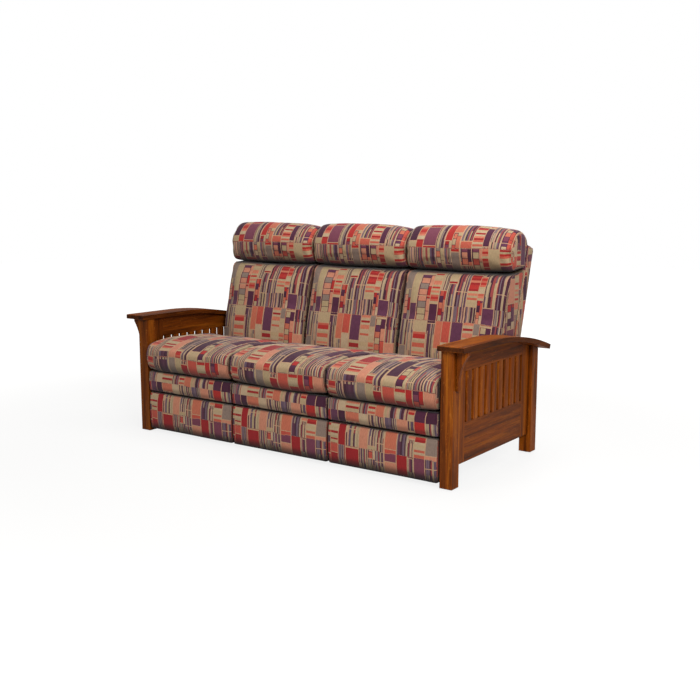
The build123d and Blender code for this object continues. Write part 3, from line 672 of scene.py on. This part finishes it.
def filled_ends(points, half, growth, forward):
    """The sewn ends are stuffed full: over the last three tenths of the half width the section grows from its
    middle, less below than above, and its front comes forward, fully so from 50 mm ahead of the middle."""
    share = eased_rise((np.abs(points[:, 0]) / half - 0.70) / 0.30)
    middle = (points[:, 1:].min(axis=0) + points[:, 1:].max(axis=0)) / 2
    behind, above = (points[:, 1:] - middle).T
    points[:, 2] += growth * share * np.where(above > 0, above, 0.3 * above)
    points[:, 1] += growth * share * np.minimum(behind, 0)
    points[:, 1] -= forward * share * np.clip(-behind / 0.05, 0, 1)


def settled(points, half, start, shares, changes, rear):
    """Use moves the top of a cushion by changes, at shares of its half width. They come in over the 45 mm
    above start, and those that raise it go out over the 60 mm ahead of rear."""
    change = np.interp(points[:, 0] / half, shares, changes)
    high = eased_rise((points[:, 2] - start) / 0.045)
    ahead = np.clip((rear - points[:, 1]) / 0.06, 0, 1)
    points[:, 2] += change * high * np.where(change > 0, ahead, 1.0)


def nearest_on(path, points):
    """How far points are from a closed outline in the side view, and how far along it they lie."""
    run = np.roll(path, -1, axis=0) - path
    length = np.linalg.norm(run, axis=1)
    before = np.concatenate([[0.0], np.cumsum(length)[:-1]])
    best = np.full(len(points), np.inf)
    along = np.zeros(len(points))
    for index, start in enumerate(path):
        share = np.clip(((points - start) @ run[index]) / max(length[index] ** 2, 1e-12), 0, 1)
        away = np.linalg.norm(points - (start + share[:, None] * run[index]), axis=1)
        closer = away < best
        best[closer] = away[closer]
        along[closer] = before[index] + share[closer] * length[index]
    return best, along


def middle_outline(points):
    """The outline in the side view of a slice 40 mm wide through the middle, in order round its centre."""
    near = points[np.abs(points[:, 0]) < 0.02][:, 1:]
    core = near.mean(axis=0)
    angle = np.arctan2(near[:, 1] - core[1], near[:, 0] - core[0])
    sectors = 96
    outline = []
    for low in np.linspace(-math.pi, math.pi, sectors + 1)[:-1]:
        chosen = near[(angle >= low) & (angle < low + 2 * math.pi / sectors)]
        if len(chosen):
            outline.append(chosen.mean(axis=0))
    return np.array(outline)[::-1]


def lay_cloth(mesh, half, drop):
    """Gives each point its place on the cloth: across it, down it from drop, and how far off a seam is."""
    points = vertex_values(mesh, "co")
    away, along = nearest_on(middle_outline(points), points[:, 1:])
    side = np.sign(points[:, 0])
    across = np.abs(points[:, 0])
    # over the rounded ends, from 30 mm off the side, the cloth turns in, so more of it goes by than the
    # piece is wide
    rounded = np.clip((across - (half - 0.03)) / 0.02, 0, 1)
    # the flat end panels, the last 8 mm, are cut from another place on the cloth
    panel = (np.abs(vertex_values(mesh, "normal")[:, 0]) > 0.9) & (across > half - 0.008)
    panel_across, panel_down = 0.9, 0.4
    turned_in = side * away * rounded * 0.6
    cloth_across = np.where(panel, points[:, 1] + side * panel_across, points[:, 0] + turned_in)
    cloth_down = np.where(panel, drop + panel_down - points[:, 2], along + drop)
    # the seam runs 12 mm in from each side, and shows only within 55 mm of the outline
    seam = np.where(away < 0.055, np.abs(across - (half - 0.012)), 1.0)
    values = np.stack([cloth_across, cloth_down, seam], axis=1).astype(np.float32)
    mesh.attributes.new("cloth", "FLOAT_VECTOR", "POINT").data.foreach_set("vector", values.ravel())


# the ends of a cover may stand this far past the sides of its solid
cushion_past = 0.0022
pad_past = 0.0035
cushion_half = across_sofa("seat_cushion_middle")[1] + cushion_past
pad_half = across_sofa("front_band_middle")[1] + pad_past
# how each make of cover is stuffed: inset, pressure, cap of its relief, the half width
# that its ends may reach, and how strongly the slow waves show on it
makes = {
    "cushion": (0.008, 5.0, 0.006, cushion_half, 1.6),
    "pad": (0.004, 4.0, 0.0025, pad_half, 0.3),
    "shell": (0.003, 3.0, 0.002, cushion_half, 0.3),
}
# each cover's name, node stem, body stem, make, voxel, drop of the cloth and fill, and then how full its ends
# are: how far they are pushed out, the growth of their section, and how far its front comes forward
covers = (
    ("head_pillow_cover", "head_pillow", "back", "cushion", 0.0085, 0.05, 0.85, 0.0025, 0.065, 0.0),
    ("back_cushion_cover", "back_cushion", "back", "cushion", 0.0090, 0.93, 0.8, 0.0018, 0.0, 0.005),
    ("seat_cushion_cover", "seat_cushion", "seat", "cushion", 0.0095, 2.63, 0.85, 0.0030, 0.0, 0.0),
    ("front_band_cover", "front_band", "seat", "pad", 0.0070, 2.93, 0.6, 0.0080, 0.0, 0.0),
    ("footrest_cover", "footrest_panel", "footrest", "pad", 0.0075, 4.07, 0.6, 0.0080, 0.0, 0.0),
    ("back_shell_cover", "back_shell", "back", "shell", 0.0100, 5.23, 0.4, 0.0, 0.0, 0.0),
)
# the middle of a seat sinks and its shoulders stand squarer, and a pillow sags at its right-hand end:
# start, shares, changes and rear, as settled takes them
settling = {
    "seat_cushion": (
        0.455, (-1.0, -0.96, -0.9, -0.75, -0.5, 0.0, 0.5, 0.75, 0.9, 0.96, 1.0),
        (0.014, 0.012, 0.004, -0.005, -0.0095, -0.011, -0.0095, -0.005, 0.004, 0.012, 0.014), 0.07),
    "head_pillow": (
        1.04, (-1.0, -0.85, 0.2, 0.6, 0.85, 1.0), (-0.002, 0.0, 0.0, -0.004, -0.012, -0.020), 0.5),
}
wave_height = 0.0006
waves_each = 4
rng = np.random.default_rng(11)
for title, stem, body, make, voxel, drop, fill, out, growth, forward in covers:
    inset, pressure, cap, half, wavy = makes[make]
    pattern = stuffed(title, stem + "_middle", voxel, inset, pressure, cap)
    points = vertex_values(pattern.data, "co")
    squared_ends(points, half, out)
    filled_ends(points, half, growth, forward)
    if stem in settling:
        settled(points, half, *settling[stem])
    put_points(pattern.data, points)
    lay_cloth(pattern.data, half, drop)
    pattern.data.polygons.foreach_set("use_smooth", [True] * len(pattern.data.polygons))
    pattern.data.materials.clear()
    pattern.data.materials.append(cloth_material)
    base = vertex_values(pattern.data, "co")
    for seat, centre in seat_centres.items():
        data = pattern.data.copy()
        waves = np.zeros(len(base))
        for _ in range(waves_each):
            direction = rng.uniform(6, 22, 3)
            waves += np.sin(base @ direction + rng.uniform(0, 6.28)) * wave_height
        moved = base.copy()
        moved[:, 2] += waves * wavy
        moved[:, 0] += centre
        put_points(data, moved)
        cover = bpy.data.objects.new(title + "_" + seat, data)
        scene.collection.objects.link(cover)
        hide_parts(stem + "_" + seat)
        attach(cover, body + "_" + seat)
    bpy.data.objects.remove(pattern)
